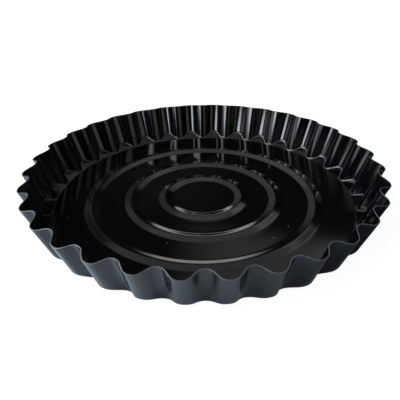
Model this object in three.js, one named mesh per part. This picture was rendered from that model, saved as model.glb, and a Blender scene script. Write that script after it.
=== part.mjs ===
// Fluted baking pan with a loose base, in millimetres, +Z up.
// A fluted steel ring stands on its own in-turned ledge at z = 0, and a beaded steel
// disc lies loose on that ledge and lifts straight out through the mouth.
import * as THREE from 'three';

// Ring: sizes of its inside face
const RING_SHEET = 0.8;        // thickness of the ring's steel
const HEIGHT = 30.7;           // from the table to the middle of the cut rim
const RIM_DIP = 1.0;           // the rim is this much higher on a fold, and lower in a flute
const FLUTES = 32;             // waves around the wall
const FLUTE_FULLNESS = 0.07;   // share of a wave three times as quick, which broadens folds and flutes
const FOOT_RADIUS = 116.3;     // middle of the wave, with the wall carried down to the table
const FOOT_WAVE = 2.9;         // half the depth of a flute there
const WALL_FLARE = 10.5;       // how far the wall leans out on its way up to the rim
const RIM_WAVE = 3.8;          // half the depth of a flute at the rim
const TOE_RUN = 1.4;           // how far the sloping toe reaches in past the folds' feet
const TOE_ANGLE = 28;          // slope in degrees of the toe that the flutes run out on
const TOE_ROUND = 2.0;         // leg of the rounded bend between wall and toe
const LEDGE_WIDTH = 8.0;       // flat ledge under the edge of the loose base

// Loose base: a disc with three raised beads
const BASE_SHEET = 0.6;        // thickness of the disc's steel
const BASE_CLEARANCE = 0.3;    // radial gap between the disc and the toe
const BEAD_RADII = [29.3, 55.4, 84.6];
const BEAD_HALF_WIDTH = 5.5;
const BEAD_HEIGHT = 1.5;
const CROWN_HALF_WIDTH = 1.5;  // rounded top of a bead
const CROWN_RISE = 0.2;
const EDGE_LAND = 2.0;         // plain flat left outside the last bead

// Fineness of the facets
const STEPS_PER_FLUTE = 8;
const BASE_STEPS = 64;

const UP = new THREE.Vector3(0, 0, 1);
const toeSlope = Math.tan(THREE.MathUtils.degToRad(TOE_ANGLE));
const toeRadius = FOOT_RADIUS - FOOT_WAVE - TOE_RUN;

// The flutes' wave at an angle: 1 on the middle of a fold and -1 in the middle of a flute.
function fluteWave(angle) {
  const turn = FLUTES * angle;
  return (Math.cos(turn) - FLUTE_FULLNESS * Math.cos(3 * turn)) / (1 - FLUTE_FULLNESS);
}

// How fast that wave falls with the angle.
function fluteFall(angle) {
  const turn = FLUTES * angle;
  return (FLUTES * (Math.sin(turn) - 3 * FLUTE_FULLNESS * Math.sin(3 * turn))) / (1 - FLUTE_FULLNESS);
}

// A point of the fluted wall at an angle and a height, moved out square to the flute.
function wallPoint(angle, height, offset) {
  const rise = height / HEIGHT;
  const wave = THREE.MathUtils.lerp(FOOT_WAVE, RIM_WAVE, rise);
  const radius = FOOT_RADIUS + WALL_FLARE * rise - wave * fluteWave(angle);
  const swing = wave * fluteFall(angle);
  const length = Math.hypot(radius, swing);
  const outward = radius + (offset * radius) / length;
  const sideways = -(offset * swing) / length;
  return new THREE.Vector3(outward, sideways, height).applyAxisAngle(UP, angle);
}

// A point on a plain circle about the centre line.
function circlePoint(angle, radius, height) {
  return new THREE.Vector3(radius, 0, height).applyAxisAngle(UP, angle);
}

// One face of the ring at an angle, from the rim down the wall, round the bend,
// down the toe and in along the ledge.
function ringFace(angle, offset, toeStart, ledgeHeight) {
  const toeHeight = (radius) => ledgeHeight + (radius - toeStart) * toeSlope;
  const radiusOf = (point) => Math.hypot(point.x, point.y);
  // The wall meets the toe where their heights agree; a few passes settle it.
  let corner = wallPoint(angle, ledgeHeight, offset);
  for (let pass = 0; pass < 8; pass += 1) {
    corner = wallPoint(angle, toeHeight(radiusOf(corner)), offset);
  }
  const toeEnd = circlePoint(angle, toeStart, ledgeHeight);
  const toeLength = corner.distanceTo(toeEnd);
  const leg = (TOE_ROUND * toeLength) / (TOE_ROUND + toeLength);
  const rim = wallPoint(angle, HEIGHT + RIM_DIP * fluteWave(angle), offset);
  const bendTop = corner.clone().addScaledVector(rim.clone().sub(corner).normalize(), leg);
  const bendEnd = corner.clone().lerp(toeEnd, leg / toeLength);
  const bend = new THREE.QuadraticBezierCurve3(bendTop, corner, bendEnd);
  const ledgeEnd = circlePoint(angle, toeRadius - LEDGE_WIDTH, ledgeHeight);
  return [rim, bendTop, bend.getPoint(0.5), bendEnd, toeEnd, ledgeEnd];
}

// The closed section of the sheet at an angle: down the inside face and back up the outside.
function ringSection(angle) {
  const lean = Math.atan(WALL_FLARE / HEIGHT);
  const halfToe = THREE.MathUtils.degToRad(TOE_ANGLE / 2);
  const inside = ringFace(angle, 0, toeRadius, RING_SHEET);
  const outsideToe = toeRadius + RING_SHEET * Math.tan(halfToe);
  const outside = ringFace(angle, RING_SHEET / Math.cos(lean), outsideToe, 0);
  return [...inside, ...outside.reverse()];
}

// Skin joining sections that follow each other round the centre line.
function loftAround(sections) {
  const count = sections[0].length;
  const index = [];
  sections.forEach((_, i) => {
    const next = (i + 1) % sections.length;
    for (let j = 0; j < count; j += 1) {
      const k = (j + 1) % count;
      index.push(i * count + j, next * count + k, i * count + k);
      index.push(i * count + j, next * count + j, next * count + k);
    }
  });
  const geometry = new THREE.BufferGeometry().setFromPoints(sections.flat());
  geometry.setIndex(index);
  geometry.computeVertexNormals();
  return geometry;
}

function flutedRing() {
  const steps = FLUTES * STEPS_PER_FLUTE;
  const sections = Array.from({ length: steps }, (_, i) => ringSection((i * 2 * Math.PI) / steps));
  return loftAround(sections);
}

// Top of one raised bead: straight flanks and a rounded crown, as radius and rise.
function beadTop(radius) {
  return [
    [radius - BEAD_HALF_WIDTH, 0],
    [radius - CROWN_HALF_WIDTH, BEAD_HEIGHT - CROWN_RISE],
    [radius, BEAD_HEIGHT],
    [radius + CROWN_HALF_WIDTH, BEAD_HEIGHT - CROWN_RISE],
    [radius + BEAD_HALF_WIDTH, 0],
  ];
}

// The disc is one pressed sheet, so its underside follows its top.
function looseBase() {
  const radius = toeRadius - BASE_CLEARANCE;
  const lastBead = radius - EDGE_LAND - BEAD_HALF_WIDTH;
  const beads = BEAD_RADII.filter((bead) => bead <= lastBead);
  const line = [[0, 0], ...beads.flatMap(beadTop), [radius, 0]];
  const under = line.map(([r, rise]) => new THREE.Vector2(r, rise));
  const top = line.map(([r, rise]) => new THREE.Vector2(r, rise + BASE_SHEET));
  const geometry = new THREE.LatheGeometry([...under, ...top.reverse()], BASE_STEPS);
  return geometry.rotateX(Math.PI / 2);
}

const wallCoating = new THREE.MeshStandardMaterial({ color: 0x2b3036, roughness: 0.42, metalness: 0.35 });
const floorCoating = new THREE.MeshStandardMaterial({ color: 0x121316, roughness: 0.18, metalness: 0.2 });

const ring = new THREE.Mesh(flutedRing(), wallCoating);
ring.name = 'fluted_ring';

const base = new THREE.Mesh(looseBase(), floorCoating);
base.name = 'loose_base';
base.position.z = RING_SHEET;

const pan = new THREE.Group();
pan.add(ring, base);

export default pan;
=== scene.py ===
# %% [markdown]
# A fluted pie pan with a loose base
#
# The real pan is two pressed steel sheets: a ring whose wall is folded into flutes, and a
# disc with three raised rings that lies loose on the ledge at the ring's foot. Both are
# coated, glossy black inside and slate grey outside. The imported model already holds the
# sizes and the motion. This lesson gives the two pieces their finished skins and coatings.

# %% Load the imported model
import math

import bpy
import numpy as np
from mathutils import Matrix, Vector


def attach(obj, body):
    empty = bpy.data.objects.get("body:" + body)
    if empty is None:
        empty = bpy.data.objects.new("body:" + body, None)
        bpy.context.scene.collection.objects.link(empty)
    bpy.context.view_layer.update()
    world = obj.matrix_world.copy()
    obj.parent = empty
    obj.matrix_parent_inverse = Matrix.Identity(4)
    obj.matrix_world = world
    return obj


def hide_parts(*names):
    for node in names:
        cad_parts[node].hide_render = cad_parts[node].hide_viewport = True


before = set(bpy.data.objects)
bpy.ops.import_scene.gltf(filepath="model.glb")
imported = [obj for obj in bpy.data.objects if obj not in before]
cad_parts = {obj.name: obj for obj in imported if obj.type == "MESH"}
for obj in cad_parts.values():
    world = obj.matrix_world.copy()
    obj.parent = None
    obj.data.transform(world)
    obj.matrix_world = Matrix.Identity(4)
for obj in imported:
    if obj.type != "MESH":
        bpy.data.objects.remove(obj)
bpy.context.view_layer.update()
MM = 0.001

# %% [markdown]
# The camera
#
# The pan was photographed from close by, from about a hand's length above the table, so near
# flutes look much larger than far ones. A camera could be aimed with a Track To constraint,
# but here its place, tilt and lens were worked out from the outline of the rim and foot, so
# they are plain numbers and the turn is a product of three rotations.

# %% Camera at the photograph's viewing angle
CAMERA_AT = (-1.17 * MM, -292.22 * MM, 172.97 * MM)
LOOK_DOWN = math.radians(31.03)
LOOK_RIGHT = math.radians(-0.31)
TILT = math.radians(-1.03)
FOCAL_LENGTH = 39.34           # in the camera's own millimetres, as is the sensor
SENSOR_WIDTH = 36.0
NEAREST_SEEN = 10 * MM

camera = bpy.data.cameras.new("camera")
camera.lens = FOCAL_LENGTH
camera.sensor_width = SENSOR_WIDTH
camera.clip_start = NEAREST_SEEN
camera_object = bpy.data.objects.new("camera", camera)
bpy.context.collection.objects.link(camera_object)
camera_object.matrix_world = (
    Matrix.Translation(CAMERA_AT)
    @ Matrix.Rotation(-LOOK_RIGHT, 4, "Z")
    @ Matrix.Rotation(math.pi / 2 - LOOK_DOWN, 4, "X")
    @ Matrix.Rotation(TILT, 4, "Z")
)
bpy.context.scene.camera = camera_object
print("camera at", [round(v, 3) for v in camera_object.location], "lens", camera.lens, "mm")

# %% [markdown]
# From a grid of points to a mesh
#
# Every surface here is a grid: rows follow the section of the sheet, and columns go once
# round the centre line. A grid could be turned into faces with nested loops, but numpy
# makes all the corner numbers at once, and foreach_set hands them to Blender in one go.

# %% Faces of a grid


def grid_quads(rows, columns, rows_meet):
    """Corner numbers of the faces of a grid whose columns go round and meet.

    A face joins a point, its neighbour in the next row, the one beside that, and the one
    beside the first. The last row joins the first where rows_meet is true.
    """
    row = np.arange(rows if rows_meet else rows - 1)[:, None]
    column = np.arange(columns)[None, :]
    below = (row + 1) % rows
    beside = (column + 1) % columns
    corners = [
        row * columns + column,
        below * columns + column,
        below * columns + beside,
        row * columns + beside,
    ]
    return np.stack(corners, axis=-1).reshape(-1, 4)


print("a tube of 3 rings of 8 points has", len(grid_quads(3, 8, rows_meet=False)), "faces")

# %% A piece from points and faces
CUBIC_CM = (10 * MM) ** 3


def enclosed_volume(points, faces):
    """Volume inside a closed skin: a sixth of the sum of the triple products of its triangles."""
    first, second, third = (points[faces[:, k]] for k in range(3))
    volume = np.einsum("ij,ij->i", first, np.cross(second, third)).sum()
    if faces.shape[1] == 4:
        fourth = points[faces[:, 3]]
        volume += np.einsum("ij,ij->i", first, np.cross(third, fourth)).sum()
    return volume / 6.0


def make_piece(name, points, face_sets, finishes, finish_of_face, dulled_and_painted_light):
    """A smooth mesh object from points and arrays of faces, with its finishes by face.

    The attribute named dulled_and_painted_light says for each point how dull its coat is, and
    how much painted light goes into its colour, from 0 to 1.
    """
    mesh = bpy.data.meshes.new(name)
    mesh.vertices.add(len(points))
    mesh.vertices.foreach_set("co", points.astype(np.float32).ravel())
    corners = np.concatenate([faces.ravel() for faces in face_sets])
    sides = np.concatenate([np.full(len(faces), faces.shape[1]) for faces in face_sets])
    mesh.loops.add(len(corners))
    mesh.loops.foreach_set("vertex_index", corners.astype(np.int32))
    mesh.polygons.add(len(sides))
    starts = np.concatenate([[0], np.cumsum(sides)[:-1]])
    mesh.polygons.foreach_set("loop_start", starts.astype(np.int32))
    mesh.polygons.foreach_set("material_index", finish_of_face.astype(np.int32))
    mesh.polygons.foreach_set("use_smooth", np.ones(len(sides), dtype=bool))
    mesh.update(calc_edges=True)
    dullness = mesh.attributes.new("dulled_and_painted_light", "FLOAT", "POINT")
    dullness.data.foreach_set("value", dulled_and_painted_light.astype(np.float32))
    for finish in finishes:
        mesh.materials.append(finish)
    piece = bpy.data.objects.new(name, mesh)
    bpy.context.collection.objects.link(piece)
    volume = sum(enclosed_volume(points, faces) for faces in face_sets)
    print(name, len(points), "points,", round(volume / CUBIC_CM, 2), "cubic cm of steel")
    return piece


print("helper for pieces ready")

# %% [markdown]
# Coatings
#
# The steel is sprayed after it is pressed, and then baked. The coat isn't quite level: it has
# a fine orange peel, and its gloss and blackness wander a little. On the flanks of the raised
# rings that face the near left, and in the bend at the flutes' foot, the coat is rougher and is
# painted lighter: painted light on the flanks' lit side, and a painted highlight in the bend. These
# effects are shared, so each is a node group with named inputs, placed in every coating with
# its own values. An image could hold them too, but nodes stay sharp close by.

# %% Helpers for node groups


def new_group(name, inputs, outputs):
    """An empty shader node group with float sockets, and its input and output nodes."""
    group = bpy.data.node_groups.new(name, "ShaderNodeTree")
    for label, value in inputs.items():
        socket = group.interface.new_socket(label, in_out="INPUT", socket_type="NodeSocketFloat")
        socket.default_value = value
    for label in outputs:
        group.interface.new_socket(label, in_out="OUTPUT", socket_type="NodeSocketFloat")
    entry = group.nodes.new("NodeGroupInput")
    leave = group.nodes.new("NodeGroupOutput")
    return group, entry, leave


def add_group(tree, group, values):
    """A node group placed in a tree, with values for some of its inputs."""
    node = tree.nodes.new("ShaderNodeGroup")
    node.node_tree = group
    for label, value in values.items():
        node.inputs[label].default_value = value
    return node


print("helpers for node groups ready")

# %% Helpers for single nodes


def add_noise(tree, scale, detail):
    """A noise texture on Object coordinates."""
    place = tree.nodes.new("ShaderNodeTexCoord")
    noise = tree.nodes.new("ShaderNodeTexNoise")
    noise.inputs["Scale"].default_value = scale
    noise.inputs["Detail"].default_value = detail
    tree.links.new(place.outputs["Object"], noise.inputs["Vector"])
    return noise.outputs["Fac"]


def add_math(tree, operation, first, second):
    """A Math node fed by sockets or plain numbers."""
    node = tree.nodes.new("ShaderNodeMath")
    node.operation = operation
    for socket, value in zip(node.inputs, (first, second)):
        if isinstance(value, (int, float)):
            socket.default_value = value
        else:
            tree.links.new(value, socket)
    return node.outputs[0]


def add_mix(tree, mask, first, second):
    """A colour mix by a mask, from a colour or a socket to a plain colour."""
    mix = tree.nodes.new("ShaderNodeMix")
    mix.data_type = "RGBA"
    tree.links.new(mask, mix.inputs["Factor"])
    if isinstance(first, tuple):
        mix.inputs["A"].default_value = (*first, 1.0)
    else:
        tree.links.new(first, mix.inputs["A"])
    mix.inputs["B"].default_value = (*second, 1.0)
    return mix.outputs["Result"]


print("helpers for single nodes ready")

# %% A shared node group for the orange peel
PEEL_COARSE = 420.0            # waves in a metre, the slow unevenness of the spray
PEEL_FINE = 1500.0             # waves in a metre, the peel itself
CLOUDS = 38.0                  # waves in a metre, the wandering of its blackness


def build_peel_group():
    """Height: two noises, each times its share. Roughness: a level plus a swing. Cloud: a slow noise."""
    group, entry, leave = new_group(
        "spray_peel",
        {"Coarse": 0.5, "Fine": 0.2, "Roughness": 0.15, "Swing": 0.04},
        ["Height", "Roughness", "Cloud"],
    )
    coarse = add_noise(group, PEEL_COARSE, detail=2.0)
    fine = add_noise(group, PEEL_FINE, detail=1.0)
    cloud = add_noise(group, CLOUDS, detail=3.0)
    slow = add_math(group, "MULTIPLY", coarse, entry.outputs["Coarse"])
    quick = add_math(group, "MULTIPLY", fine, entry.outputs["Fine"])
    group.links.new(add_math(group, "ADD", slow, quick), leave.inputs["Height"])
    centred = add_math(group, "SUBTRACT", cloud, 0.5)
    swing = add_math(group, "MULTIPLY", centred, entry.outputs["Swing"])
    rough = add_math(group, "ADD", swing, entry.outputs["Roughness"])
    group.links.new(rough, leave.inputs["Roughness"])
    group.links.new(cloud, leave.inputs["Cloud"])
    return group


spray_peel = build_peel_group()
print("node group", spray_peel.name, "made")

# %% Shared node groups for the dull coat with its painted light, and for dust
DULL_AND_PAINTED_LIGHT_GRAIN = 900.0             # waves in a metre, the fine mottling of the dull coat and its painted light
DUST_CELLS = 110.0             # cells in a metre, each with at most one speck


def build_dull_group():
    """Mask: the piece's own dulled_and_painted_light attribute, less a share of a fine noise."""
    group, entry, leave = new_group("dull_coat_and_painted_light", {"Mottling": 0.3}, ["Mask"])
    dulled_and_painted_light = group.nodes.new("ShaderNodeAttribute")
    dulled_and_painted_light.attribute_name = "dulled_and_painted_light"
    grain = add_noise(group, DULL_AND_PAINTED_LIGHT_GRAIN, detail=3.0)
    missing = add_math(group, "MULTIPLY", grain, entry.outputs["Mottling"])
    kept = add_math(group, "SUBTRACT", 1.0, missing)
    group.links.new(add_math(group, "MULTIPLY", dulled_and_painted_light.outputs["Fac"], kept), leave.inputs["Mask"])
    return group


def build_dust_group():
    """Mask: a round speck at the middle of a share of the cells of a Voronoi pattern."""
    group, entry, leave = new_group("dust_specks", {"Share": 0.5, "Size": 0.03}, ["Mask"])
    place = group.nodes.new("ShaderNodeTexCoord")
    cells = group.nodes.new("ShaderNodeTexVoronoi")
    cells.inputs["Scale"].default_value = DUST_CELLS
    group.links.new(place.outputs["Object"], cells.inputs["Vector"])
    split = group.nodes.new("ShaderNodeSeparateColor")
    group.links.new(cells.outputs["Color"], split.inputs["Color"])
    chosen = add_math(group, "LESS_THAN", split.outputs["Red"], entry.outputs["Share"])
    close = add_math(group, "LESS_THAN", cells.outputs["Distance"], entry.outputs["Size"])
    group.links.new(add_math(group, "MULTIPLY", chosen, close), leave.inputs["Mask"])
    return group


dull_coat_and_painted_light = build_dull_group()
dust_specks = build_dust_group()
print("node groups", dull_coat_and_painted_light.name, "and", dust_specks.name, "made")

# %% One coating from the shared effects
PEEL_LIFT = 0.02 * MM          # height of a peel whose shares add up to 1
COATING_IOR = 1.5
CLOUD_TINT = 1.5               # the palest places are this many times lighter
DUST_GREY = (0.3, 0.3, 0.29)


def make_coating(name, colour, peel_values, painted_light_colour, dull_roughness, dust_share):
    """A dark coating: clouds, then dull places with painted light, then dust in its colour; peel in its
    surface.

    The dull places have a painted light colour of their own, and are rougher by the amount given.
    """
    coating = bpy.data.materials.new(name)
    coating.use_nodes = True
    tree = coating.node_tree
    shader = tree.nodes["Principled BSDF"]
    shader.inputs["IOR"].default_value = COATING_IOR
    peel = add_group(tree, spray_peel, peel_values)
    dull = add_group(tree, dull_coat_and_painted_light, {})
    dust = add_group(tree, dust_specks, {"Share": dust_share})
    pale = tuple(CLOUD_TINT * part for part in colour)
    clouded = add_mix(tree, peel.outputs["Cloud"], colour, pale)
    # The dull places' colour is painted light: a lit side on the bead flanks, and a highlight in the
    # bend.
    dulled_and_painted_light = add_mix(tree, dull.outputs["Mask"], clouded, painted_light_colour)
    dusty = add_mix(tree, dust.outputs["Mask"], dulled_and_painted_light, DUST_GREY)
    tree.links.new(dusty, shader.inputs["Base Color"])
    rise = add_math(tree, "MULTIPLY", dull.outputs["Mask"], dull_roughness)
    rough = add_math(tree, "ADD", peel.outputs["Roughness"], rise)
    tree.links.new(rough, shader.inputs["Roughness"])
    bump = tree.nodes.new("ShaderNodeBump")
    bump.inputs["Distance"].default_value = PEEL_LIFT
    tree.links.new(peel.outputs["Height"], bump.inputs["Height"])
    tree.links.new(bump.outputs["Normal"], shader.inputs["Normal"])
    return coating


mirrored_share = ((COATING_IOR - 1) / (COATING_IOR + 1)) ** 2
print("a coating seen straight on mirrors", round(mirrored_share, 3), "of the light")

# %% Coatings of the two pieces
wall_peel = {"Coarse": 0.3, "Fine": 0.1, "Roughness": 0.11, "Swing": 0.05}
base_peel = {"Coarse": 0.3, "Fine": 0.1, "Roughness": 0.07, "Swing": 0.04}
satin_peel = {"Coarse": 0.5, "Fine": 0.3, "Roughness": 0.16, "Swing": 0.1}
cut_peel = {"Coarse": 0.4, "Fine": 0.4, "Roughness": 0.25, "Swing": 0.15}
wall_black = (0.0008, 0.001, 0.0014)
base_black = (0.0015, 0.0015, 0.0015)
slate = (0.004, 0.0052, 0.007)
cut_grey = (0.05, 0.053, 0.056)
# Painted highlight: the pale line painted in the bend at the flutes' foot.
bend_painted_highlight = (0.06, 0.062, 0.065)
# Painted light: the grey of the bead flanks that face the near left, standing for their lit side.
flank_painted_light = (0.03, 0.03, 0.0295)

wall_gloss = make_coating(
    "wall_gloss", wall_black, wall_peel, bend_painted_highlight, dull_roughness=0.25, dust_share=0.5,
)
base_gloss = make_coating(
    "base_gloss", base_black, base_peel, flank_painted_light, dull_roughness=0.02, dust_share=0.5,
)
slate_gloss = make_coating(
    "slate_gloss", slate, satin_peel, flank_painted_light, dull_roughness=0.1, dust_share=0.2,
)
edge_coating = make_coating(
    "edge_coating", cut_grey, cut_peel, flank_painted_light, dull_roughness=0.1, dust_share=0.0,
)
print("coatings:", [coating.name for coating in (wall_gloss, base_gloss, slate_gloss, edge_coating)])

# %% [markdown]
# The fluted ring
#
# A press folds the wall into 32 flutes, which run out at the foot on a sloping toe, and the
# sheet then turns in as a flat ledge. A plain cylinder could be displaced, but then the
# toe would be lost. Here the section of the sheet is a line with corners at the rim, the
# foot, the end of the toe and the end of the ledge. Walking along that line, and taking the
# mean over a short stretch either side, rounds its corners as a press tool does.

# %% Sizes of the ring
RING_SHEET = 0.8 * MM
RIM_HEIGHT = 30.7 * MM         # middle of the rim's own wave
RIM_DIP = 1.0 * MM             # the rim stands this much higher on a fold, and lower in a flute
FLUTES = 32
FLUTE_FULLNESS = 0.07          # share of a wave three times as quick, which broadens folds and flutes
FOOT_RADIUS = 116.3 * MM       # middle of the wave, with the wall carried down to the table
FOOT_WAVE = 2.9 * MM           # half the depth of a flute there
WALL_FLARE = 10.5 * MM         # how far the wall leans out on its way up
RIM_WAVE = 3.8 * MM            # half the depth of a flute at the rim
TOE_ANGLE = math.radians(28)   # slope of the toe that the flutes run out on
TOE_RUN = 0.3 * MM             # how far the sloping toe reaches in past the folds' feet
TOE_RADIUS = FOOT_RADIUS - FOOT_WAVE - TOE_RUN
LEDGE_WIDTH = 8.0 * MM
BEND_ROUND = 1.5 * MM          # walk either side over which a corner of the section is rounded
EDGE_ROUND = 0.22 * MM         # how far the rounded cut stands out past the flat faces
print("ring:", FLUTES, "flutes, mean rim", round(2 * (FOOT_RADIUS + WALL_FLARE) / MM, 1), "mm across")

# %% Shape of the fluted wall
COLUMNS_PER_FLUTE = 30
COLUMNS = FLUTES * COLUMNS_PER_FLUTE
around = np.arange(COLUMNS) * (2 * np.pi / COLUMNS)


def ring_point(angle, radius, height):
    """A point by its angle, radius and height about the centre line."""
    return np.stack([radius * np.cos(angle), radius * np.sin(angle), height + 0 * angle], axis=-1)


def flute_wave(angle):
    """A cosine that repeats with each flute, less a small share of one three times as quick."""
    turn = FLUTES * angle
    return (np.cos(turn) - FLUTE_FULLNESS * np.cos(3 * turn)) / (1 - FLUTE_FULLNESS)


def wall_radius(angle, height):
    """A circle that grows evenly with height, less the flutes' wave, which deepens towards the rim."""
    rise = height / RIM_HEIGHT
    wave = FOOT_WAVE + (RIM_WAVE - FOOT_WAVE) * rise
    return FOOT_RADIUS + WALL_FLARE * rise - wave * flute_wave(angle)


rim_radii = wall_radius(around, RIM_HEIGHT) / MM
print("radius at the rim from", round(rim_radii.min(), 1), "to", round(rim_radii.max(), 1), "mm")

# %% A line with rounded corners
MEAN_STEPS = 9                 # places whose mean is taken
MIDDLE_WEIGHT = 1.2            # weight of the middle place, which falls evenly by 1 to the ends


def rounded_line(corners, walk, rounding):
    """Points at distances along a line with corners, with the corners rounded.

    A point is the start plus each stretch's direction times the part of it walked so far.
    The mean of such points over a short walk before and after rounds the corners.
    """
    stretches = np.diff(corners, axis=0)
    lengths = np.linalg.norm(stretches, axis=-1)
    starts = np.concatenate([np.zeros_like(lengths[:1]), np.cumsum(lengths, axis=0)[:-1]])
    last = len(lengths) - 1
    points = np.zeros(walk.shape + (3,))
    shifts = np.linspace(-1.0, 1.0, MEAN_STEPS)
    weights = MIDDLE_WEIGHT - np.abs(shifts)
    for shift, weight in zip(shifts, weights / weights.sum()):
        walked = walk + shift * rounding
        point = np.broadcast_to(corners[0], points.shape).copy()
        for k, (stretch, length, start) in enumerate(zip(stretches, lengths, starts)):
            low = -np.inf if k == 0 else 0.0
            high = np.inf if k == last else length
            point += (np.clip(walked - start, low, high) / length)[..., None] * stretch
        points += weight * point
    return points


print("corners are rounded over", round(2 * BEND_ROUND / MM, 1), "mm of sheet")

# %% Inside face of the ring
CLOSE_ROWS = np.array([0.0, 0.25, 0.8]) * MM   # rows close to a cut keep its rounding to itself
WALL_ROWS, FOOT_ROWS, LEDGE_ROWS = 8, 26, 3
MEETING_PASSES = 12            # passes that settle the height where wall and toe meet


def rows_between(start, stop, count):
    """Evenly spaced distances from a start up to, and without, a stop, for every column."""
    return start + np.linspace(0.0, 1.0, count, endpoint=False)[:, None] * (stop - start)


def ring_inside(angle):
    """Rows of points from the rim down the wall, over the toe and in along the ledge."""
    slope = math.tan(TOE_ANGLE)
    meeting = np.full_like(angle, RING_SHEET)
    for _ in range(MEETING_PASSES):
        meeting = RING_SHEET + (wall_radius(angle, meeting) - TOE_RADIUS) * slope
    top = RIM_HEIGHT - EDGE_ROUND + RIM_DIP * flute_wave(angle)
    flat = np.full_like(angle, RING_SHEET)
    toe_end = np.full_like(angle, TOE_RADIUS)
    corners = np.stack([
        ring_point(angle, wall_radius(angle, top), top),
        ring_point(angle, wall_radius(angle, meeting), meeting),
        ring_point(angle, toe_end, flat),
        ring_point(angle, toe_end - LEDGE_WIDTH + EDGE_ROUND, flat),
    ])
    wall_end, toe_stop, total = np.cumsum(np.linalg.norm(np.diff(corners, axis=0), axis=-1), axis=0)
    bend_start = wall_end - 2 * BEND_ROUND
    bend_stop = toe_stop + 2 * BEND_ROUND
    walk = np.concatenate([
        CLOSE_ROWS[:, None] + 0 * total,
        rows_between(CLOSE_ROWS[-1] + 0 * total, bend_start, WALL_ROWS)[1:],
        rows_between(bend_start, bend_stop, FOOT_ROWS),
        rows_between(bend_stop, total - CLOSE_ROWS[-1], LEDGE_ROWS),
        total - CLOSE_ROWS[::-1, None],
    ])
    return rounded_line(corners, walk, BEND_ROUND)


inside = ring_inside(around)
print("inside face:", inside.shape[0], "rows of", inside.shape[1], "points")

# %% Dull coat and a painted highlight in the bend at the flutes' foot
BEND_STEEPNESS = 0.72          # drop for each step along the sheet, half way from wall to toe
BEND_SPREAD = 0.22             # change of steepness over which the dull coat and its painted highlight fade out


def bend_dull_and_painted_highlight(points):
    """How dull the coat is, with its painted highlight: full at the bend's own steepness, falling evenly
    to none at wall and toe.
    """
    along = np.gradient(points, axis=0)
    steepness = np.abs(along[..., 2]) / np.linalg.norm(along, axis=-1)
    return np.clip(1 - np.abs(steepness - BEND_STEEPNESS) / BEND_SPREAD, 0, 1)


bend_dulled_and_painted_highlight = bend_dull_and_painted_highlight(inside)
print("rows with some dull coat:", int((bend_dulled_and_painted_highlight.max(axis=1) > 0).sum()))

# %% Outside face and cut edges of the ring
CUT_STEPS = 5


def unit(vectors):
    """Vectors scaled to length one."""
    return vectors / np.linalg.norm(vectors, axis=-1, keepdims=True)


def face_normals(points):
    """Unit normals of a grid: the cross product of its row and column directions."""
    along = np.gradient(points, axis=0)
    across = np.roll(points, -1, axis=1) - np.roll(points, 1, axis=1)
    return unit(np.cross(across, along))


def cut_rows(near, far, outward, steps):
    """Half-round rows that close a sheet's cut: from one face over the edge to the other."""
    middle, half = (near + far) / 2, (near - far) / 2
    turn = np.linspace(0.0, np.pi, steps + 2)[1:-1, None, None]
    return middle + half * np.cos(turn) + outward * EDGE_ROUND * np.sin(turn)


outside = inside - RING_SHEET * face_normals(inside)
rim_cut = cut_rows(outside[0], inside[0], unit(inside[0] - inside[1]), CUT_STEPS)
ledge_cut = cut_rows(inside[-1], outside[-1], unit(inside[-1] - inside[-2]), CUT_STEPS)
ring_grid = np.concatenate([inside, ledge_cut, outside[::-1], rim_cut])
print("sheet", round(float(np.linalg.norm(outside - inside, axis=-1).mean()) / MM, 3), "mm thick")

# %% The ring as a piece
INSIDE_FINISH, OUTSIDE_FINISH, CUT_FINISH = 0, 1, 2
row_finish = np.concatenate([
    np.full(len(inside) - 1, INSIDE_FINISH),
    np.full(CUT_STEPS + 1, CUT_FINISH),
    np.full(len(outside) - 1, OUTSIDE_FINISH),
    np.full(CUT_STEPS + 1, CUT_FINISH),
])
ring_points = ring_grid.reshape(-1, 3)
ring_faces = grid_quads(len(ring_grid), COLUMNS, rows_meet=True)[:, ::-1]
# Only the bend takes the dull coat and its painted highlight.
ring_dulled_and_painted_highlight = np.zeros(len(ring_points))
ring_dulled_and_painted_highlight[:bend_dulled_and_painted_highlight.size] = bend_dulled_and_painted_highlight.ravel()
ring_shell = make_piece(
    "ring_shell", ring_points, [ring_faces],
    [wall_gloss, slate_gloss, edge_coating], np.repeat(row_finish, COLUMNS), ring_dulled_and_painted_highlight,
)
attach(ring_shell, "ring")
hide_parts("fluted_ring")

# %% [markdown]
# The loose base
#
# The base is a disc with three raised rings, called beads, which stiffen it. Each has straight
# flanks, a rounded crest and crisp feet. A lathe with a Screw modifier would turn such a line
# into a disc. A grid is as short, and its points can say which flanks face the near left, where
# the coat is rougher and is painted lighter as painted light.

# %% Sizes and raised rings of the loose base
BASE_CLEARANCE = 0.3 * MM      # gap between the disc and the toe
BASE_RADIUS = TOE_RADIUS - BASE_CLEARANCE
BASE_SHEET = 0.6 * MM
BASE_TOP = RING_SHEET + BASE_SHEET   # the base lies on the ledge
BEAD_RADII = (29.3 * MM, 55.4 * MM, 84.6 * MM)
BEAD_HALF_WIDTH = 5.5 * MM
BEAD_HEIGHT = 1.2 * MM
CREST_ROUND = 0.5 * MM
FOOT_ROUND = 0.12 * MM


def bead_rise(radius):
    """Height of the raised rings: each a tent with a rounded crest, met by the flat in a tight curve.

    The tent falls with the distance from its crest line, where the distance is softened by a
    square root, and the larger of tent and flat is also taken with a softening square root.
    """
    rise = np.zeros_like(radius)
    for bead in BEAD_RADII:
        away = np.sqrt((radius - bead) ** 2 + CREST_ROUND ** 2) - CREST_ROUND
        reach = np.hypot(BEAD_HALF_WIDTH, CREST_ROUND) - CREST_ROUND
        tent = BEAD_HEIGHT * (1 - away / reach)
        rise += (tent + np.sqrt(tent ** 2 + FOOT_ROUND ** 2)) / 2
    return rise


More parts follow.
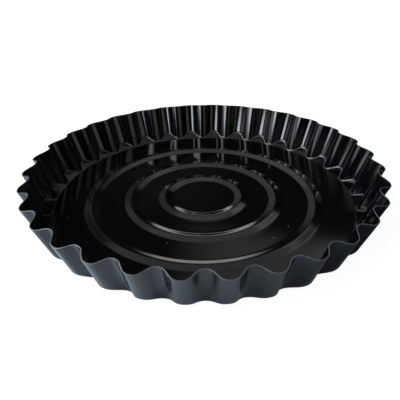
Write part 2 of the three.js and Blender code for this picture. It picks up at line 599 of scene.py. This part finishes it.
print("bead tops", [round(float(bead_rise(np.array([b]))[0]) / MM, 2) for b in BEAD_RADII], "mm")

# %% Dull coat and painted light on the flanks that face the near left
CREST_LINE = 0.6 * MM             # half the width of the shiny line along a crest
OUTER_DULL_AND_PAINTED_LIGHT = (0.6, 0.4, 0.2)   # how dull each ring's outer flank is, and how much painted light it takes, beside its inner one
PAINTED_LIGHT_FROM = math.radians(212)    # bearing of the light painted onto the flanks, clockwise from the far side
PAINTED_LIGHT_EDGE, PAINTED_LIGHT_RISE = -0.25, 0.5   # facing at which a flank starts to dull and take painted light, and the rise to full


def bead_dull_and_painted_light(points):
    """How dull the coat is, with its painted light: fully on an inner flank, partly on an outer one,
    where they face the near left.

    A flank faces outwards or inwards along its spoke. The cosine of the angle between that way
    and the way to the painted light, stepped up smoothly from PAINTED_LIGHT_EDGE, gives the share.
    """
    radius = np.linalg.norm(points[:, :2], axis=-1)
    away = radius[..., None] - np.array(BEAD_RADII)
    nearest = np.abs(away).argmin(axis=-1)
    side = np.take_along_axis(away, nearest[..., None], axis=-1)[..., 0]
    on_flank = np.clip((BEAD_HALF_WIDTH - np.abs(side)) / CREST_ROUND, 0, 1)
    off_crest = np.clip(np.abs(side) / CREST_LINE, 0, 1) ** 2
    painted_light_way = np.array([math.sin(PAINTED_LIGHT_FROM), math.cos(PAINTED_LIGHT_FROM)])
    towards = points[:, :2] @ painted_light_way / np.maximum(radius, MM)
    facing = np.clip((np.sign(side) * towards - PAINTED_LIGHT_EDGE) / PAINTED_LIGHT_RISE, 0, 1)
    share = np.where(side < 0, 1.0, np.array(OUTER_DULL_AND_PAINTED_LIGHT)[nearest])
    return on_flank * off_crest * share * facing ** 2 * (3 - 2 * facing)


print("spray from bearing", round(math.degrees(PAINTED_LIGHT_FROM)), "degrees")

# %% Grid of the loose base
BASE_COLUMNS, BASE_ROWS = 256, 160
CROWDING = 18.0                # how much closer rows lie at a crest or a foot of a bead
CROWD_REACH = 0.6 * MM
FINE_STEPS = 4001              # places along a spoke where the crowding is summed
DISH = 0.7 * MM                # the middle lies this much lower than the edge
spokes = np.arange(BASE_COLUMNS) * (2 * np.pi / BASE_COLUMNS)
fine = np.linspace(0.0, BASE_RADIUS - EDGE_ROUND, FINE_STEPS)
bends = np.array([bead + side * BEAD_HALF_WIDTH for bead in BEAD_RADII for side in (-1, 0, 1)])
bends = np.append(bends, fine[-1])
crowd = 1.0 + CROWDING * np.exp(-(((fine[:, None] - bends) / CROWD_REACH) ** 2)).sum(axis=1)
share = np.cumsum(crowd) / crowd.sum()
radii = np.interp(np.linspace(0.0, 1.0, BASE_ROWS + 1)[1:], share, fine)


def base_face(radius, angle, height):
    """Points of a disc's face: a height, plus the beads' rise, less a shallow bowl."""
    radius, angle = np.meshgrid(radius, angle, indexing="ij")
    sag = DISH * (1 - (radius / BASE_RADIUS) ** 2)
    return ring_point(angle, radius, height + bead_rise(radius) - sag)


top = base_face(radii, spokes, BASE_TOP)
under = base_face(radii, spokes, RING_SHEET)
base_cut = cut_rows(under[-1], top[-1], unit(top[-1] - top[-2]), CUT_STEPS)
base_grid = np.concatenate([under, base_cut, top[::-1]])
poles = np.array([[0, 0, RING_SHEET - DISH], [0, 0, BASE_TOP - DISH]])
base_points = np.concatenate([base_grid.reshape(-1, 3), poles])
print("base:", base_grid.shape[0], "rows of", base_grid.shape[1], "points")

# %% Faces of the loose base, with a fan of triangles round each pole
rows = len(base_grid)
base_quads = grid_quads(rows, BASE_COLUMNS, rows_meet=False)[:, ::-1]
first_row = np.arange(BASE_COLUMNS)
next_in_row = (first_row + 1) % BASE_COLUMNS
last_row = (rows - 1) * BASE_COLUMNS
under_pole = np.full(BASE_COLUMNS, len(base_points) - 2)
top_pole = under_pole + 1
under_fan = np.stack([under_pole, next_in_row, first_row], axis=-1)
top_fan = np.stack([top_pole, last_row + first_row, last_row + next_in_row], axis=-1)
print("base:", len(base_quads), "quads and", len(under_fan) + len(top_fan), "triangles")

# %% The loose base as a piece
base_row_finish = np.concatenate([
    np.full(BASE_ROWS - 1, OUTSIDE_FINISH),
    np.full(CUT_STEPS + 1, CUT_FINISH),
    np.full(BASE_ROWS - 1, INSIDE_FINISH),
])
base_finish = np.concatenate([
    np.repeat(base_row_finish, BASE_COLUMNS),
    np.full(BASE_COLUMNS, OUTSIDE_FINISH),
    np.full(BASE_COLUMNS, INSIDE_FINISH),
])
# The bead flanks that face the near left, on top and underneath, take painted light.
base_disc = make_piece(
    "base_disc", base_points, [base_quads, under_fan, top_fan],
    [base_gloss, slate_gloss, edge_coating], base_finish, bead_dull_and_painted_light(base_points),
)
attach(base_disc, "base")
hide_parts("loose_base")

# %% [markdown]
# The floor
#
# The pan stands on plain white. A floor lit to white would throw its light back on the
# coating, so to bounced light the floor is ordinary paint. To the camera it also glows, so
# that it shows as white and keeps a faint shadow. In reflections its colour is painted
# shade: pale towards the window, and painted dark on the other side, as a room's floor is shaded.

# %% The floor in reflections, with painted shade
FLOOR_MIRRORED = (0.7, 0.78, 0.86)       # on the window's side
FLOOR_MIRRORED_PAINTED_SHADE = (0.04, 0.04, 0.04)  # painted shade, on the other side
DIM_FROM, DIM_TO = 10 * MM, 140 * MM     # places along X between which it dims


def mirrored_colour(tree):
    """The floor's colour in reflections: painted shade, a smooth step from pale to dim along X."""
    place = tree.nodes.new("ShaderNodeTexCoord")
    split = tree.nodes.new("ShaderNodeSeparateXYZ")
    tree.links.new(place.outputs["Object"], split.inputs[0])
    across = tree.nodes.new("ShaderNodeMapRange")
    across.interpolation_type = "SMOOTHSTEP"
    across.inputs["From Min"].default_value = DIM_FROM
    across.inputs["From Max"].default_value = DIM_TO
    tree.links.new(split.outputs["X"], across.inputs["Value"])
    return add_mix(tree, across.outputs["Result"], FLOOR_MIRRORED, FLOOR_MIRRORED_PAINTED_SHADE)


print("mirrored floor dims over", round((DIM_TO - DIM_FROM) / MM), "mm")

# %% Paint of the floor
FLOOR_PAINT = (0.8, 0.8, 0.8, 1.0)       # to bounced light
FLOOR_SEEN = (0.25, 0.25, 0.25, 1.0)     # to the camera, under the glow
SEEN_GLOW = 0.92                         # light added to it for the camera alone


def make_floor_paint():
    """One paint for each kind of ray, and a glow that only the camera sees; clear from below."""
    paint = bpy.data.materials.new("floor_white")
    paint.use_nodes = True
    tree = paint.node_tree
    tree.nodes.clear()
    plain, seen, mirrored = (tree.nodes.new("ShaderNodeBsdfDiffuse") for _ in range(3))
    plain.inputs["Color"].default_value = FLOOR_PAINT
    seen.inputs["Color"].default_value = FLOOR_SEEN
    tree.links.new(mirrored_colour(tree), mirrored.inputs["Color"])
    glow = tree.nodes.new("ShaderNodeEmission")
    glow.inputs["Strength"].default_value = SEEN_GLOW
    glowing = tree.nodes.new("ShaderNodeAddShader")
    tree.links.new(seen.outputs[0], glowing.inputs[0])
    tree.links.new(glow.outputs[0], glowing.inputs[1])
    clear = tree.nodes.new("ShaderNodeBsdfTransparent")
    ray = tree.nodes.new("ShaderNodeLightPath").outputs
    side = tree.nodes.new("ShaderNodeNewGeometry")
    choices = [
        (add_math(tree, "MAXIMUM", ray["Is Glossy Ray"], ray["Is Transmission Ray"]), mirrored),
        (ray["Is Camera Ray"], glowing),
        (side.outputs["Backfacing"], clear),
    ]
    look = plain.outputs[0]
    for chosen, shader in choices:
        mix = tree.nodes.new("ShaderNodeMixShader")
        tree.links.new(chosen, mix.inputs["Fac"])
        tree.links.new(look, mix.inputs[1])
        tree.links.new(shader.outputs[0], mix.inputs[2])
        look = mix.outputs[0]
    out = tree.nodes.new("ShaderNodeOutputMaterial")
    tree.links.new(look, out.inputs["Surface"])
    return paint


floor_white = make_floor_paint()
print("floor paint", floor_white.name, "with", len(floor_white.node_tree.nodes), "nodes")

# %% White floor
FLOOR_HALF = 3.0               # half its width, in metres

floor_mesh = bpy.data.meshes.new("floor")
floor_corners = [(-FLOOR_HALF, -FLOOR_HALF, 0), (FLOOR_HALF, -FLOOR_HALF, 0),
                 (FLOOR_HALF, FLOOR_HALF, 0), (-FLOOR_HALF, FLOOR_HALF, 0)]
floor_mesh.from_pydata(floor_corners, [], [(0, 1, 2, 3)])
floor_mesh.materials.append(floor_white)
floor = bpy.data.objects.new("floor", floor_mesh)
bpy.context.collection.objects.link(floor)
print("floor", 2 * FLOOR_HALF, "m wide")

# %% [markdown]
# Light
#
# Black gloss shows little but reflections, so the lights are chosen for what the pan
# mirrors. A window stands to the left, with bright strips low under it, and a pale ceiling
# hangs over the far half. Warm glows at the back show in the near part of the base, a low
# panel at the back draws glints on the rings, and soft fills stand at the right and in front.
# An image of a room could light the pan too, but here each light is a soft box placed by
# the direction in which the pan sees it, so it can be moved by name. Real soft boxes fade
# towards their sides, so a node group dims the lamps towards their edges.

# %% A shared node group for the fading sides of a soft box


def build_fade_group():
    """Level: a smooth step up from each side of the lamp, across its width times across its height."""
    group, entry, leave = new_group("soft_sides", {"Across": 0.3, "Up": 0.3}, ["Level"])
    place = group.nodes.new("ShaderNodeNewGeometry")
    split = group.nodes.new("ShaderNodeSeparateXYZ")
    group.links.new(place.outputs["Parametric"], split.inputs[0])
    steps = []
    for axis, label in (("X", "Across"), ("Y", "Up")):
        step = group.nodes.new("ShaderNodeMapRange")
        step.interpolation_type = "SMOOTHSTEP"
        from_side = add_math(group, "PINGPONG", split.outputs[axis], 0.5)
        group.links.new(from_side, step.inputs["Value"])
        group.links.new(entry.outputs[label], step.inputs["From Max"])
        steps.append(step.outputs["Result"])
    group.links.new(add_math(group, "MULTIPLY", *steps), leave.inputs["Level"])
    return group


soft_sides = build_fade_group()
print("node group", soft_sides.name, "made")

# %% One soft box by its direction
LAMP_DISTANCE = 1.5
PAN_MIDDLE = Vector((0, 0, 15 * MM))


def add_softbox(name, bearing, height, wide, tall, brightness, tint, sides):
    """A soft box by its bearing (clockwise from the far side), height, width and tallness in degrees.

    Its power is its brightness times its area times pi, so that boxes of like brightness look
    alike in a mirror, whatever their size.
    """
    turn, climb = math.radians(bearing), math.radians(height)
    level = math.cos(climb)
    toward = Vector((math.sin(turn) * level, math.cos(turn) * level, math.sin(climb)))
    lamp = bpy.data.lights.new(name, "AREA")
    lamp.shape = "RECTANGLE"
    lamp.size = 2 * LAMP_DISTANCE * math.tan(math.radians(wide / 2))
    lamp.size_y = 2 * LAMP_DISTANCE * math.tan(math.radians(tall / 2))
    lamp.energy = brightness * lamp.size * lamp.size_y * math.pi
    lamp.color = tint
    lamp.use_nodes = True
    tree = lamp.node_tree
    fade = add_group(tree, soft_sides, dict(zip(("Across", "Up"), sides)))
    tree.links.new(fade.outputs["Level"], tree.nodes["Emission"].inputs["Strength"])
    box = bpy.data.objects.new(name, lamp)
    bpy.context.collection.objects.link(box)
    box.location = PAN_MIDDLE + LAMP_DISTANCE * toward
    box.rotation_euler = (-toward).to_track_quat("-Z", "Y").to_euler()


print("soft boxes stand", LAMP_DISTANCE, "m from the pan")

# %% Soft boxes
DAYLIGHT, PLAIN, WARM = (0.9, 0.96, 1.0), (1.0, 1.0, 1.0), (1.0, 0.97, 0.9)

# Name, bearing, height, width and tallness in degrees, brightness, tint, fading across and up
SOFT_BOXES = [
    ("window_left", 270, 42, 50, 32, 10.5, DAYLIGHT, (0.2, 0.2)),
    ("window_top", 235, 52, 70, 22, 2.5, DAYLIGHT, (0.25, 0.3)),
    ("window_sill", 220, 17, 48, 12, 12.5, DAYLIGHT, (0.3, 0.3)),
    ("window_low", 258, 7, 60, 12, 2.6, DAYLIGHT, (0.3, 0.3)),
    ("panel_left_back", 329, 36, 10, 42, 0.15, PLAIN, (0.4, 0.3)),
    ("panel_back", 357, 13, 24, 6, 1.6, PLAIN, (0.3, 0.3)),
    ("ceiling", 0, 67, 84, 38, 0.4, PLAIN, (0.25, 0.2)),
    ("glow_back", 14, 42, 36, 16, 0.37, WARM, (0.35, 0.2)),
    ("glow_right", 31, 42, 20, 16, 0.55, WARM, (0.35, 0.15)),
    ("wall_back", 355, 28, 22, 12, 0.025, WARM, (0.4, 0.4)),
    ("fill_right", 124, 17, 84, 24, 0.85, PLAIN, (0.4, 0.4)),
    ("fill_front", 174, 48, 46, 22, 1.8, PLAIN, (0.3, 0.3)),
]
for soft_box in SOFT_BOXES:
    add_softbox(*soft_box)
print("lamps:", [lamp.name for lamp in bpy.data.lights])

# %% [markdown]
# The world
#
# Behind the floor the picture is white too. A world that is white to everything would lie as
# a pale haze on the gloss, so Light Path lets only the camera see it white. To the pan it is
# a nearly dark room, in which the soft boxes stand out.

# %% World: white to the camera, nearly dark to everything else
SKY_SEEN = (1.0, 1.0, 1.0, 1.0)
SKY_ELSEWHERE = (0.01, 0.01, 0.01, 1.0)


def make_world():
    """A background that Light Path's Is Camera Ray switches from nearly dark to white."""
    world = bpy.data.worlds.new("studio")
    world.use_nodes = True
    tree = world.node_tree
    tree.nodes.clear()
    path = tree.nodes.new("ShaderNodeLightPath")
    by_ray = tree.nodes.new("ShaderNodeMixShader")
    tree.links.new(path.outputs["Is Camera Ray"], by_ray.inputs["Fac"])
    for place, colour in enumerate((SKY_ELSEWHERE, SKY_SEEN), start=1):
        sky = tree.nodes.new("ShaderNodeBackground")
        sky.inputs["Color"].default_value = colour
        tree.links.new(sky.outputs[0], by_ray.inputs[place])
    out = tree.nodes.new("ShaderNodeOutputWorld")
    tree.links.new(by_ray.outputs[0], out.inputs["Surface"])
    return world


bpy.context.scene.world = make_world()
print("world", bpy.context.scene.world.name, "made")

# %% [markdown]
# The view
#
# A filmic view would lift the deep blacks, so the Standard view is chosen, which shows
# colours as they are written.

# %% The Standard view
bpy.context.scene.view_settings.view_transform = "Standard"
